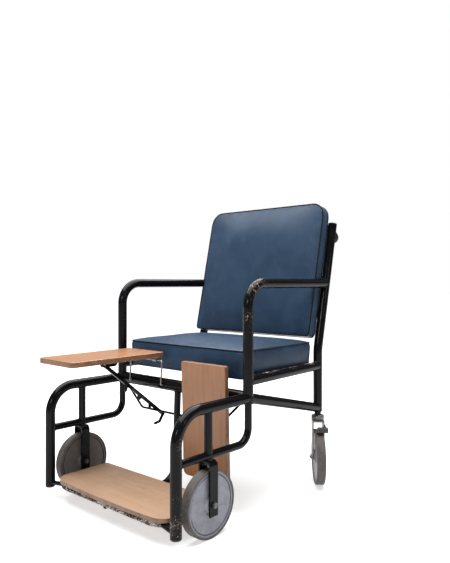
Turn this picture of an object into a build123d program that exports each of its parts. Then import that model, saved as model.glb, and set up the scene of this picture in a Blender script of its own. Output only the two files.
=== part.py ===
from build123d import *
import os
from math import atan2, cos, degrees, hypot, radians, sin, tan

# A wheeled hospital chair: welded tube frame, padded seat and back, two hinged leg boards,
# a footboard between the front legs, two fixed front wheels and two rear swivel casters.
# Lengths are in millimetres. The chair faces -Y, its left side is +X, the floor is z = 0.
# While it is built, y = 0 is the plane of the two arm posts. The last step moves the whole
# chair so that the origin lies on the floor under the middle of its bounding box.

# Stance of the frame
side_spacing = 600.0
rear_spacing = 568.0
leg_reach = 301.0
wheel_reach = 177.0
upright_reach = 415.0
wheel_diameter = 190.0
arm_height = 708.0
junction_height = 361.5
seat_rail_rise = 51.5
lower_loop_drop = 133.5
post_bottom_drop = 16.5
foot_height = 34.0
upright_bottom_height = 250.0
lower_rail_end_rise = 12.5
upright_top_height = 927.0
rake_bend_height = 470.0
rake_angle = 12.67

# Frame tubes
frame_tube_diameter = 32.0
crossbar_diameter = 40.0
crossbar_end_inset = 8.0
wheel_post_diameter = 25.0
lower_loop_diameter = 23.0
tube_wall = 2.0
leg_bend_radius = 86.0
arm_bend_radius = 75.0
loop_bend_radius = 45.0
rake_bend_radius = 160.0
end_plate = 3.0
saddle_rise = 6.0

# Plugs in the open tube ends
plug_spigot_length = 16.0
plug_clearance = 0.1
foot_plug_height = 5.0
foot_plug_round = 4.0
top_plug_height = 3.0
top_plug_round = 2.0

# Push bar behind the back
push_bar_diameter = 25.0
push_bar_leave_drop = 27.0
push_bar_fall = 31.0
push_bar_setback = 41.0
push_bar_bend_radius = 26.0

# Catch bar that the ratchet strut rests on
catch_bar_diameter = 8.0
catch_bar_drop = 96.7
catch_bar_reach = 188.0
catch_bar_end_inset = 19.0
catch_bar_end_drop = 11.5
catch_bar_bend_radius = 25.0

# Footboard and its rail
footboard_width = 524.0
footboard_rear = 98.0
footboard_front = 311.0
footboard_bow = 7.0
footboard_top = 74.0
footboard_thickness = 12.0
footboard_corner_radius = 50.0
footboard_rail_diameter = 16.0
rail_front_inset = 6.0
rail_side_inset = 14.0
rail_rear_inset = 12.0
rail_corner_radius = 48.0
stub_leg_height = 48.0
stub_diameter = 14.0
centre_post_diameter = 23.0
centre_post_setoff = 4.5
centre_post_lean = 12.5
centre_post_bend_radius = 62.0

# Seat
cushion_width = 558.0
cushion_front = 10.0
cushion_rear = 395.5
cushion_bottom_rise = 46.5
cushion_thickness = 94.0
cushion_crown = 12.0
cushion_side_bulge = 5.0
cushion_corner_radius = 14.0
seat_board_thickness = 10.0
seat_board_inset = 24.0
board_clearance = 0.3
strap_width = 40.0
strap_thickness = 5.0
seat_strap_inset = 62.0

# Back
back_width = 556.0
back_bottom_rise = 7.0
back_length = 503.0
back_thickness = 43.0
back_crown = 9.0
back_side_bulge = 3.0
back_top_corner_radius = 52.0
back_bottom_corner_radius = 16.0
back_board_thickness = 9.0
back_board_inset = 24.0
back_strap_inset = 97.0

# Wood screws under the panels
screw_head_radius = 4.5
screw_head_height = 2.5
screw_head_round = 0.8
screw_shank_radius = 2.0
screw_bite = 6.0
screw_row_inset = 60.0

# Wheels, all four alike
tyre_width = 30.0
tyre_depth = 6.0
tyre_round = 2.7
rim_half_width = 13.0
rim_depth = 6.0
groove_width = 3.0
groove_half_width = 7.0
web_half_width = 11.5
hub_radius = 20.0
hub_half_width = 16.0
bush_radius = 8.0
bush_overhang = 0.7
axle_radius = 5.0
running_clearance = 0.05

# Front forks
fork_gap = 35.0
fork_plate = 5.0
fork_width = 32.0
fork_top_drop = 12.0
fork_bottom_height = 64.0
fork_shoulder_radius = 15.0
axle_head_radius = 9.0
axle_head_height = 6.0
axle_nut_radius = 8.5
axle_nut_height = 8.0
axle_tail = 3.0

# Rear casters
caster_trail = 24.0
caster_stem_radius = 8.0
caster_stem_top = 330.0
caster_collar_radius = 11.5
caster_cup_radius = 23.0
caster_cup_bottom = 222.0
caster_cup_top = 238.0
caster_cup_round = 5.0
caster_gap = 0.5
caster_crown_plate = 5.0
caster_cheek = 3.0
caster_front_overhang = 34.0
caster_rear_overhang = 22.0
caster_cheek_depth = 28.0
caster_eye_radius = 13.0
kingpin_head_radius = 12.0
kingpin_head_height = 5.0
left_caster_heading = 39.0
right_caster_heading = 219.0

# Brake pedal on each caster
pedal_pivot_y = -16.0
pedal_pivot_height = 200.0
pedal_pin_radius = 3.5
pedal_arm = 3.0
pedal_arm_height = 12.0
pedal_gap = 1.0
pedal_front = 72.0
pedal_rear = 52.0
pedal_outer = 28.0
pedal_inner = 8.0
pedal_bottom_height = 189.0
pedal_top_height = 206.0
pedal_round = 3.0

# Leg boards and their hinges
leg_board_width = 188.0
leg_board_length = 366.0
leg_board_thickness = 17.0
leg_board_inner_edge = 63.0
leg_board_tail = 12.75
leg_board_corner_radius = 18.0
leg_board_tail_radius = 6.0
leg_board_edge_round = 2.2
hinge_rise = 83.25
hinge_setoff = 22.75
hinge_drop = 11.25
hanging_setback_angle = 1.6
wire_radius = 3.0
wire_inner_edge = 59.0
wire_outer_edge = 222.0
wire_foot_lean = 5.6
wire_bend_radius = 9.0
wire_foot_bend_radius = 4.5
clip_inset = 34.0
clip_width = 20.0
clip_length = 34.0
clip_plate = 2.0
clip_knuckle_radius = 6.0
clip_web = 6.0
clip_screw_spacing = 22.0
clip_screw_radius = 1.5
clip_screw_head_radius = 3.5
clip_screw_head_height = 1.6
clip_screw_bite = 9.0

# Ratchet strut and its bracket
strut_plane = 130.0
strut_pivot_reach = 190.55
strut_pivot_drop = 11.0
strut_thickness = 6.0
strut_height = 12.0
strut_length = 330.0
strut_eye_radius = 7.0
strut_rest_gap = 0.3
hook_width = 8.0
hook_leg_length = 29.0
hook_leg_angle = 86.0
hook_tip_length = 22.0
hook_tip_angle = 133.0
tooth_tip_width = 7.0
tooth_tip_round = 2.0
tooth_starts = [115.0, 187.3, 250.3]
tooth_roots = [16.0, 19.7, 11.7]
tooth_depths = [24.9, 17.2, 16.3]
bracket_front_reach = 7.7
bracket_rear_reach = 53.3
bracket_depth = 20.5
bracket_front_round = 7.0
bracket_rear_round = 12.0
bracket_width = 24.0
bracket_plate = 2.0
bracket_ear = 2.5
bracket_gap = 0.5
strut_pin_radius = 3.0
strut_pin_head = 5.0
strut_pin_head_height = 2.0

# Overrun of a cutting shape past the face that it cuts
overrun = 5.0

# Share of a right-angled corner's radius that its arc's middle lies inside the corner
arc_middle_share = 1 - cos(radians(45))

# Worked-out places
side_x = side_spacing / 2
rear_x = rear_spacing / 2
wheel_radius = wheel_diameter / 2
frame_tube_radius = frame_tube_diameter / 2
crossbar_radius = crossbar_diameter / 2
wheel_post_radius = wheel_post_diameter / 2
lower_loop_radius = lower_loop_diameter / 2
push_bar_radius = push_bar_diameter / 2
rail_radius = footboard_rail_diameter / 2
centre_post_radius = centre_post_diameter / 2
catch_bar_radius = catch_bar_diameter / 2
rake_slope = tan(radians(rake_angle))
seat_rail_height = junction_height + seat_rail_rise
lower_loop_height = junction_height - lower_loop_drop
post_bottom_height = junction_height - post_bottom_drop
fork_top_height = lower_loop_height - fork_top_drop
push_bar_leave_height = upright_top_height - push_bar_leave_drop
push_bar_height = push_bar_leave_height - push_bar_fall
catch_bar_height = junction_height - catch_bar_drop
catch_bar_end_height = junction_height - catch_bar_end_drop
cushion_bottom_height = junction_height + cushion_bottom_rise
cushion_seam_height = cushion_bottom_height + cushion_thickness
back_bottom_height = cushion_seam_height + back_bottom_rise
hinge_height = junction_height + hinge_rise
hinge_y = -hinge_setoff
footboard_bottom = footboard_top - footboard_thickness
rail_height = footboard_bottom - rail_radius
centre_run_height = footboard_bottom - centre_post_radius
crossbar_reach = side_x - crossbar_end_inset


def upright_y(height):
    """Centre of a rear upright at a height above its bend."""
    return upright_reach + (height - rake_bend_height) * rake_slope


def tube_path(points, bend_radius):
    """Straight runs joined by arcs of one radius."""
    if len(points) == 2:
        return Line(*points)
    return FilletPolyline(*points, radius=bend_radius)


def bar(points, radius, bend_radius=0.0):
    """Solid round bar along a path."""
    path = tube_path(points, bend_radius)
    section = Plane(origin=path @ 0, z_dir=path % 0) * Circle(radius)
    return sweep(section, path=path)


def tube(points, radius, bend_radius=0.0):
    """Hollow round tube along a path."""
    path = tube_path(points, bend_radius)
    plane = Plane(origin=path @ 0, z_dir=path % 0)
    section = plane * (Circle(radius) - Circle(radius - tube_wall))
    return sweep(section, path=path)


def pin(start, end, radius):
    """Round pin from one point to another."""
    line = Line(start, end)
    return Pos(*start) * (Plane(origin=(0, 0, 0), z_dir=line % 0).location * Cylinder(
        radius, line.length, align=(Align.CENTER, Align.CENTER, Align.MIN)))


def block(low, high):
    """Box between two corners."""
    size = [b - a for a, b in zip(low, high)]
    centre = [(a + b) / 2 for a, b in zip(low, high)]
    return Pos(*centre) * Box(*size)


def mirrored(shape):
    """The same shape on the other side of the chair."""
    return mirror(shape, about=Plane.YZ)


def stick(start, end, width, plane_x, thickness):
    """Flat bar in a side plane, with round ends, from one (y, z) point to another."""
    run = hypot(end[0] - start[0], end[1] - start[1])
    turn = degrees(atan2(end[1] - start[1], end[0] - start[0]))
    outline = SlotCenterToCenter(run, width, rotation=0)
    middle = ((start[0] + end[0]) / 2, (start[1] + end[1]) / 2)
    face = Plane.YZ.offset(plane_x - thickness / 2) * (Pos(*middle) * (Rot(0, 0, turn) * outline))
    return extrude(face, amount=thickness)


def front_post_points(x):
    """Corners of a front loop: up the leg, then back to the arm post."""
    return [(x, -leg_reach, foot_height + foot_plug_height), (x, -leg_reach, junction_height),
            (x, 0, junction_height)]


def arm_points(x, rear):
    """Corners of an arm: up the arm post, then back to the rear upright."""
    return [(x, 0, post_bottom_height), (x, 0, arm_height), (rear, upright_y(arm_height), arm_height)]


def upright_points(x, top):
    """Corners of a rear upright, which leans back above its bend."""
    return [(x, upright_reach, upright_bottom_height), (x, upright_reach, rake_bend_height),
            (x, upright_y(top), top)]


def seat_rail_points():
    """Ends of a seat rail, from the arm post to the rear upright."""
    return [(side_x, 0, seat_rail_height), (rear_x, upright_reach, seat_rail_height)]


def lower_rail_points():
    """Ends of a lower rail, which falls from the junction to the foot of the rear upright."""
    return [(side_x, 0, junction_height), (rear_x, upright_reach, upright_bottom_height + lower_rail_end_rise)]


def frame_side():
    """Tubes of the left side frame, each cut to the tubes that it is welded to."""
    leg_solid = bar(front_post_points(side_x), frame_tube_radius, leg_bend_radius)
    arm_solid = bar(arm_points(side_x, rear_x), frame_tube_radius, arm_bend_radius)
    upright_solid = bar(upright_points(rear_x, upright_top_height), frame_tube_radius, rake_bend_radius)
    loop_points = [(side_x, 0, post_bottom_height), (side_x, 0, lower_loop_height),
                   (side_x, -leg_reach, lower_loop_height)]
    loop_solid = bar(loop_points, lower_loop_radius, loop_bend_radius)
    rail_solid = bar(lower_rail_points(), frame_tube_radius)
    rail_stop = upright_solid + pin((rear_x, upright_reach, caster_cup_top),
                                    (rear_x, upright_reach, upright_bottom_height), frame_tube_radius)

    leg = tube(front_post_points(side_x), frame_tube_radius, leg_bend_radius) - arm_solid
    arm = tube(arm_points(side_x, rear_x), frame_tube_radius, arm_bend_radius) - upright_solid
    arm += pin((side_x, 0, post_bottom_height), (side_x, 0, post_bottom_height + end_plate), frame_tube_radius)
    upright = tube(upright_points(rear_x, upright_top_height), frame_tube_radius, rake_bend_radius)
    loop = tube(loop_points, lower_loop_radius, loop_bend_radius) - leg_solid
    post_points = [(side_x, -wheel_reach, lower_loop_height + saddle_rise), (side_x, -wheel_reach, junction_height)]
    wheel_post = tube(post_points, wheel_post_radius) - leg_solid - loop_solid
    seat_rail = tube(seat_rail_points(), frame_tube_radius) - arm_solid - upright_solid
    lower_rail = longest(tube(lower_rail_points(), frame_tube_radius) - arm_solid - rail_stop - loop_solid)
    solids = {"leg": leg_solid, "arm": arm_solid, "upright": upright_solid, "loop": loop_solid,
              "lower_rail": rail_solid}
    tubes = {"leg": leg, "arm": arm, "upright": upright, "loop": loop, "wheel_post": wheel_post,
             "seat_rail": seat_rail, "lower_rail": lower_rail}
    return tubes, solids


def end_plug(height, round_radius, radius):
    """Plug for a tube end: a rounded cap over a spigot. The cap stands on z = 0 upwards."""
    cap = Cylinder(radius, height, align=(Align.CENTER, Align.CENTER, Align.MIN))
    cap = fillet(cap.edges().group_by(Axis.Z)[-1], round_radius)
    spigot = Cylinder(radius - tube_wall - plug_clearance, plug_spigot_length,
                      align=(Align.CENTER, Align.CENTER, Align.MAX))
    return cap + spigot


def foot_plug():
    """Rounded plug in the bottom of a front leg."""
    turned = Rot(180, 0, 0) * end_plug(foot_plug_height, foot_plug_round, frame_tube_radius)
    return Pos(side_x, -leg_reach, foot_height + foot_plug_height) * turned


def upright_plug():
    """Flat plug in the top of a rear upright."""
    cap = Rot(-rake_angle, 0, 0) * end_plug(top_plug_height, top_plug_round, frame_tube_radius)
    return Pos(rear_x, upright_y(upright_top_height), upright_top_height) * cap


def push_bar(upright_solids):
    """Bar across the back that the chair is pushed by, cut to the uprights."""
    leave_y = upright_y(push_bar_leave_height)
    bar_y = leave_y + push_bar_setback
    points = [(rear_x, leave_y, push_bar_leave_height), (rear_x, bar_y, push_bar_height),
              (-rear_x, bar_y, push_bar_height), (-rear_x, leave_y, push_bar_leave_height)]
    return tube(points, push_bar_radius, push_bar_bend_radius) - upright_solids


def crossbar(solids):
    """Straight tube between the two side frames at the junctions, and the same as a solid bar."""
    points = [(-crossbar_reach, 0, junction_height), (crossbar_reach, 0, junction_height)]
    whole = bar(points, crossbar_radius) - solids
    return tube(points, crossbar_radius) - solids, whole


def catch_bar(solids):
    """Bent rod below the crossbar that the strut's teeth catch on."""
    end_x = side_x - catch_bar_end_inset
    points = [(end_x, 0, catch_bar_end_height), (catch_bar_reach, 0, catch_bar_height),
              (-catch_bar_reach, 0, catch_bar_height), (-end_x, 0, catch_bar_end_height)]
    return bar(points, catch_bar_radius, catch_bar_bend_radius) - solids


def centre_post(crossbar_solid, rod):
    """Post down from the crossbar, leant a little forward, that bends forward under the footboard."""
    points = [(0, -centre_post_setoff, junction_height),
              (0, -centre_post_setoff - centre_post_lean, centre_run_height),
              (0, rail_front_y(), centre_run_height)]
    rail = bar(footboard_rail_points(), rail_radius, rail_corner_radius)
    return tube(points, centre_post_radius, centre_post_bend_radius) - crossbar_solid - rod - rail


def rail_front_y():
    """Centre of the footboard rail's front run."""
    return -(footboard_front - rail_front_inset)


def footboard_rail_points():
    """Corners of the rail under the footboard's sides and front."""
    side = footboard_width / 2 - rail_side_inset
    rear = -(footboard_rear + rail_rear_inset)
    front = rail_front_y()
    return [(side, rear, rail_height), (side, front, rail_height), (-side, front, rail_height),
            (-side, rear, rail_height)]


def footboard_stub(leg_solid):
    """Short tube from the rail's front corner down to the foot of the front leg."""
    rail = bar(footboard_rail_points(), rail_radius, rail_corner_radius)
    corner_setback = rail_corner_radius * arc_middle_share
    start_x = footboard_width / 2 - rail_side_inset - corner_setback
    points = [(start_x, rail_front_y() + corner_setback, rail_height),
              (side_x, -leg_reach, stub_leg_height)]
    return tube(points, stub_diameter / 2) - leg_solid - rail


def footboard():
    """Wooden board with large front corners and a slightly bowed front edge."""
    half = footboard_width / 2
    shoulder = half - footboard_corner_radius
    corner_y = -(footboard_front - footboard_corner_radius)
    diagonal = footboard_corner_radius * arc_middle_share
    edge = Polyline((half, corner_y), (half, -footboard_rear), (-half, -footboard_rear), (-half, corner_y))
    left_corner = ThreePointArc((-half, corner_y), (diagonal - half, diagonal - footboard_front),
                                (-shoulder, -footboard_front))
    front = ThreePointArc((-shoulder, -footboard_front), (0, -footboard_front - footboard_bow),
                          (shoulder, -footboard_front))
    right_corner = ThreePointArc((shoulder, -footboard_front), (half - diagonal, diagonal - footboard_front),
                                 (half, corner_y))
    face = make_face(edge + left_corner + front + right_corner)
    return extrude(Pos(0, 0, footboard_bottom) * face, amount=footboard_thickness)


def flat_strap(y_middle, height_top, half_length):
    """Flat bar across the chair with its top at a height."""
    return block((-half_length, y_middle - strap_width / 2, height_top - strap_thickness),
                 (half_length, y_middle + strap_width / 2, height_top))


def pillow(width, depth, base, seam, crown, bulge, low_radius, high_radius):
    """Padded block centred on x = 0, y = 0: crowned top, swelling sides, drawn-in bottom edge.

    Its two corners at -Y have the low radius, its two corners at +Y the high radius.
    """
    half_w, half_d = width / 2, depth / 2
    middle = (base + seam) / 2
    top = seam + crown

    def outline(half):
        """Upright section: straight base, swelling sides, crowned top."""
        sides = Line((-half + bulge, base), (half - bulge, base))
        right = ThreePointArc((half - bulge, base), (half + bulge / 2, middle), (half, seam))
        crest = ThreePointArc((half, seam), (0, top), (-half, seam))
        left = ThreePointArc((-half, seam), (-half - bulge / 2, middle), (-half + bulge, base))
        return make_face(sides + right + crest + left)

    reach = max(width, depth) + bulge
    across = extrude(Plane.XZ.offset(-reach) * outline(half_w), amount=2 * reach)
    along = extrude(Plane.YZ.offset(-reach) * outline(half_d), amount=2 * reach)
    plan = Rectangle(width + 2 * bulge, depth + 2 * bulge)
    plan = fillet(plan.vertices().group_by(Axis.Y)[-1], high_radius)
    plan = fillet(plan.vertices().group_by(Axis.Y)[0], low_radius)
    upright = extrude(Pos(0, 0, base) * plan, amount=top - base)
    return across & along & upright


def seat():
    """Seat straps, board and cushion. The cushion's sides lie over the seat rails."""
    depth = cushion_rear - cushion_front
    centre_y = (cushion_front + cushion_rear) / 2
    board_low = (-cushion_width / 2 + seat_board_inset, cushion_front + seat_board_inset, cushion_bottom_height)
    board_high = (cushion_width / 2 - seat_board_inset, cushion_rear - seat_board_inset,
                  cushion_bottom_height + seat_board_thickness)
    board = block(board_low, board_high)
    pocket = block([low - board_clearance for low in board_low], [high + board_clearance for high in board_high])
    groove = bar(seat_rail_points(), frame_tube_radius + board_clearance)
    cushion = Pos(0, centre_y, 0) * pillow(cushion_width, depth, cushion_bottom_height + board_clearance,
                                           cushion_seam_height, cushion_crown, cushion_side_bulge,
                                           cushion_corner_radius, cushion_corner_radius)
    cushion = cushion - pocket - groove - mirrored(groove)
    strap_rows = [cushion_front + seat_strap_inset, cushion_rear - seat_strap_inset]
    straps = [flat_strap(row, cushion_bottom_height, side_x) for row in strap_rows]
    return board, cushion, straps, strap_rows


def back_place():
    """Location of the back's own frame: its z runs up the uprights, its y to the rear."""
    foot_y = upright_y(back_bottom_height) - frame_tube_radius / cos(radians(rake_angle))
    return Pos(0, foot_y, back_bottom_height) * Rot(-rake_angle, 0, 0)


def back():
    """Back straps, board and cushion in the back's own frame, then leant with the uprights.

    The cushion's sides are pinched between the two arms.
    """
    place = back_place()
    board_low = (-back_width / 2 + back_board_inset, -back_board_thickness, back_board_inset)
    board_high = (back_width / 2 - back_board_inset, 0, back_length - back_board_inset)
    board = block(board_low, board_high)
    pocket = block([low - board_clearance for low in board_low], [high + board_clearance for high in board_high])
    flat = pillow(back_width, back_length, board_clearance, back_thickness, back_crown, back_side_bulge,
                  back_bottom_corner_radius, back_top_corner_radius)
    cushion = Pos(0, 0, back_length / 2) * Rot(90, 0, 0) * flat - pocket
    groove = bar(arm_points(side_x, rear_x), frame_tube_radius + board_clearance, arm_bend_radius)
    rows = [back_strap_inset, back_length - back_strap_inset]
    straps = [block((-rear_x, 0, row - strap_width / 2), (rear_x, strap_thickness, row + strap_width / 2))
              for row in rows]
    return place * board, place * cushion - groove - mirrored(groove), [place * strap for strap in straps], rows


def panel_screw():
    """Round head of a wood screw that points up, with the bottom of the head at z = 0."""
    head = Cylinder(screw_head_radius, screw_head_height, align=(Align.CENTER, Align.CENTER, Align.MIN))
    return fillet(head.edges().group_by(Axis.Z)[0], screw_head_round)


def screw_at(place, grip):
    """Screw whose head bears on the part that it holds, over a grip length, and bites the board."""
    shank = Cylinder(screw_shank_radius, screw_head_height + grip + screw_bite,
                     align=(Align.CENTER, Align.CENTER, Align.MIN))
    return place * (Pos(0, 0, -screw_head_height) * (panel_screw() + shank))


def wheel(centre):
    """Tyre, core and bush of one wheel on an axle along X."""
    rim_outer = wheel_radius - tyre_depth
    groove_outer = rim_outer - rim_depth
    groove_inner = groove_outer - groove_width
    tread = Pos(0, (rim_outer + wheel_radius) / 2) * RectangleRounded(tyre_width, tyre_depth, tyre_round)
    square = Pos(0, rim_outer) * Rectangle(tyre_width, tyre_depth / 2, align=(Align.CENTER, Align.MIN))
    tyre = revolve(tread + square, axis=Axis.X)
    profile = Polyline((0, bush_radius), (hub_half_width, bush_radius), (hub_half_width, hub_radius),
                       (web_half_width, hub_radius + (hub_half_width - web_half_width)),
                       (web_half_width, groove_inner), (groove_half_width, groove_inner),
                       (groove_half_width, groove_outer), (rim_half_width, groove_outer),
                       (rim_half_width, rim_outer), (0, rim_outer), (0, bush_radius))
    core_half = revolve(make_face(profile), axis=Axis.X)
    core = core_half + mirror(core_half, about=Plane.YZ)
    sleeve = Rot(0, 90, 0) * Cylinder(bush_radius, 2 * (hub_half_width + bush_overhang))
    hole = Rot(0, 90, 0) * Cylinder(axle_radius + running_clearance, tyre_width + overrun)
    bush = sleeve - hole
    return [Pos(*centre) * piece for piece in (tyre, core, bush)]


def hex_nut(radius, height):
    """Hexagon nut blank lying along +X from x = 0."""
    return Rot(0, 90, 0) * extrude(RegularPolygon(radius, 6), amount=height)


def axle(outer_face, centre):
    """Axle bolt along X with its head on the +X side, and its nut on the other side."""
    y, z = centre[1], centre[2]
    x = centre[0]
    tail_x = x - outer_face - axle_nut_height - axle_tail
    shank = pin((tail_x, y, z), (x + outer_face, y, z), axle_radius)
    head = Pos(x + outer_face, y, z) * hex_nut(axle_head_radius, axle_head_height)
    nut = Pos(x - outer_face - axle_nut_height, y, z) * hex_nut(axle_nut_radius, axle_nut_height)
    return shank + head, nut - shank


def front_fork(loop_solid):
    """Flat bar bent over the front wheel, with a stub welded under the lower loop."""
    half = fork_gap / 2 + fork_plate
    height = fork_top_height - fork_bottom_height
    outer = Pos(0, height / 2) * Rectangle(2 * half, height)
    outer = fillet(outer.vertices().group_by(Axis.Y)[-1], fork_shoulder_radius)
    inner_height = height - fork_plate
    inner = Pos(0, inner_height / 2) * Rectangle(fork_gap, inner_height)
    inner = fillet(inner.vertices().group_by(Axis.Y)[-1], fork_shoulder_radius - fork_plate)
    face = Plane(origin=(side_x, -wheel_reach + fork_width / 2, fork_bottom_height), x_dir=(1, 0, 0),
                 z_dir=(0, -1, 0)) * (outer - inner)
    bent = extrude(face, amount=fork_width)
    stub = pin((side_x, -wheel_reach, fork_top_height), (side_x, -wheel_reach, fork_top_height + saddle_rise),
               wheel_post_radius) - loop_solid
    hole = pin((side_x - half - overrun, -wheel_reach, wheel_radius),
               (side_x + half + overrun, -wheel_reach, wheel_radius), axle_radius)
    return bent + stub - hole


def caster_stem():
    """Stem, collar, shoulder and riveted kingpin of a caster, in the caster's own frame."""
    crown_top = caster_cup_bottom - caster_gap
    crown_bottom = crown_top - caster_crown_plate
    shaft = pin((0, 0, crown_bottom - kingpin_head_height), (0, 0, caster_stem_top), caster_stem_radius)
    collar = pin((0, 0, caster_cup_top), (0, 0, upright_bottom_height), caster_collar_radius)
    sleeve = pin((0, 0, upright_bottom_height), (0, 0, caster_stem_top),
                 frame_tube_radius - tube_wall)
    head = pin((0, 0, crown_bottom - caster_gap - kingpin_head_height), (0, 0, crown_bottom - caster_gap),
               kingpin_head_radius)
    return shaft + collar + sleeve + head


def caster_cup():
    """Bearing cup above the caster's fork."""
    cup = pin((0, 0, caster_cup_bottom), (0, 0, caster_cup_top), caster_cup_radius)
    cup = fillet(cup.edges().group_by(Axis.Z)[-1], caster_cup_round)
    return cup - pin((0, 0, caster_cup_bottom - overrun), (0, 0, caster_cup_top + overrun), caster_stem_radius)


def caster_fork():
    """Crown plate and two tapering cheeks, with holes for the kingpin, the axle and the pedal pin."""
    crown_top = caster_cup_bottom - caster_gap
    crown_bottom = crown_top - caster_crown_plate
    inner = fork_gap / 2
    outer = inner + caster_cheek
    crown = block((-outer, -caster_front_overhang, crown_bottom), (outer, caster_rear_overhang, crown_top))
    crown = fillet(crown.edges().filter_by(Axis.Z), caster_cheek)
    corner = [(-caster_front_overhang, crown_top), (caster_rear_overhang, crown_top),
              (caster_rear_overhang, crown_top - caster_cheek_depth)]
    eye = (-caster_trail, wheel_radius)
    low_rear = (eye[0] + caster_eye_radius, eye[1])
    low_front = (eye[0] - caster_eye_radius, eye[1])
    edge = Polyline(low_front, (-caster_front_overhang, crown_top - caster_cheek_depth), *corner, low_rear)
    round_end = ThreePointArc(low_rear, (eye[0], eye[1] - caster_eye_radius), low_front)
    cheek = extrude(Plane.YZ.offset(inner) * make_face(edge + round_end), amount=caster_cheek)
    holes = pin((0, 0, crown_bottom - overrun), (0, 0, crown_top + overrun),
                caster_stem_radius + running_clearance)
    holes += pin((-outer - overrun, eye[0], eye[1]), (outer + overrun, eye[0], eye[1]), axle_radius)
    holes += pin((0, pedal_pivot_y, pedal_pivot_height), (outer + overrun, pedal_pivot_y, pedal_pivot_height),
                 pedal_pin_radius + running_clearance)
    return crown + cheek + mirrored(cheek) - holes


def brake_pedal():
    """Pedal on an arm outside the fork's cheek, turning on a short pin through it."""
    cheek_face = fork_gap / 2 + caster_cheek
    arm_inner = cheek_face + pedal_gap
    arm_outer = arm_inner + pedal_arm
    pivot = (pedal_pivot_y, pedal_pivot_height)
    middle = (pedal_bottom_height + pedal_top_height) / 2
    arm = stick(pivot, (-pedal_rear, middle), pedal_arm_height, (arm_inner + arm_outer) / 2, pedal_arm)
    pad = block((-pedal_inner, -pedal_front, pedal_bottom_height), (pedal_outer, -pedal_rear, pedal_top_height))
    pad = fillet(pad.edges().filter_by(Axis.X), pedal_round)
    short_pin = pin((cheek_face - caster_cheek - bracket_gap, *pivot), (arm_outer, *pivot), pedal_pin_radius)
    washer = pin((cheek_face, *pivot), (arm_inner, *pivot), pedal_arm_height / 2)
    return arm + pad + short_pin + washer


def leg_board():
    """Right leg board in its raised place: long, flat, with round corners and softened edges."""
    free_end = hinge_y + leg_board_tail - leg_board_length
    tail_end = hinge_y + leg_board_tail
    low = hinge_height + hinge_drop
    board = block((-leg_board_inner_edge - leg_board_width, free_end, low),
                  (-leg_board_inner_edge, tail_end, low + leg_board_thickness))
    uprights = board.edges().filter_by(Axis.Z).group_by(Axis.Y)
    board = fillet(uprights[0], leg_board_corner_radius)
    board = fillet(board.edges().filter_by(Axis.Z).group_by(Axis.Y)[-1], leg_board_tail_radius)
    rims = board.edges().group_by(Axis.Z)
    return fillet(rims[0] + rims[-1], leg_board_edge_round)


def hinge_wire(crossbar_solid):
    """Bent wire that stands out from the crossbar and carries the right leg board's clips."""
    foot_y = hinge_y - wire_foot_lean
    points = [(-wire_inner_edge, 0, junction_height), (-wire_inner_edge, foot_y, junction_height),
              (-wire_inner_edge, hinge_y, hinge_height), (-wire_outer_edge, hinge_y, hinge_height),
              (-wire_outer_edge, foot_y, junction_height), (-wire_outer_edge, 0, junction_height)]
    bends = [wire_foot_bend_radius, wire_bend_radius, wire_bend_radius, wire_foot_bend_radius]
    return bar(points, wire_radius, bends) - crossbar_solid


def clip_screw(x, y):
    """Small screw up through a clip's plate into the right leg board."""
    seat_z = hinge_height + hinge_drop - clip_plate
    head = pin((x, y, seat_z - clip_screw_head_height), (x, y, seat_z), clip_screw_head_radius)
    return head + pin((x, y, seat_z), (x, y, seat_z + clip_plate + clip_screw_bite), clip_screw_radius)


def hinge_clips():
    """Two saddle clips and their screws, round the right hinge wire."""
    top = hinge_height + hinge_drop
    pieces, screws = [], []
    for x in (-wire_inner_edge - clip_inset, -wire_outer_edge + clip_inset):
        knuckle = pin((x - clip_width / 2, hinge_y, hinge_height), (x + clip_width / 2, hinge_y, hinge_height),
                      clip_knuckle_radius)
        web = block((x - clip_width / 2, hinge_y - clip_web / 2, hinge_height), (x + clip_width / 2,
                    hinge_y + clip_web / 2, top - clip_plate))
        plate_rear = hinge_y + leg_board_tail
        plate = block((x - clip_width / 2, plate_rear - clip_length, top - clip_plate),
                      (x + clip_width / 2, plate_rear, top))
        bore = pin((x - clip_width, hinge_y, hinge_height), (x + clip_width, hinge_y, hinge_height),
                   wire_radius + running_clearance)
        screw = clip_screw(x, hinge_y - clip_screw_spacing + leg_board_tail / 2)
        pieces.append(knuckle + web + plate - bore - screw)
        screws.append(screw)
    return pieces, screws


def strut_pivot():
    """(y, z) of the strut's pin under the right leg board."""
    return hinge_y - strut_pivot_reach, hinge_height + hinge_drop - strut_pivot_drop


def strut_angle():
    """Slope of the strut when its lower edge rests on the catch bar, in degrees."""
    y, z = strut_pivot()
    offset = catch_bar_radius + strut_height / 2 + strut_rest_gap
    distance = hypot(y, z - catch_bar_height)
    return degrees(atan2(catch_bar_height - z, -y)) + degrees(atan2(offset, distance))


def strut_plate(outline):
    """Plate of the strut's thickness in the strut's plane, from an outline drawn as (y, z)."""
    return extrude(Plane.YZ.offset(-strut_plane - strut_thickness / 2) * outline, amount=strut_thickness)


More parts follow.
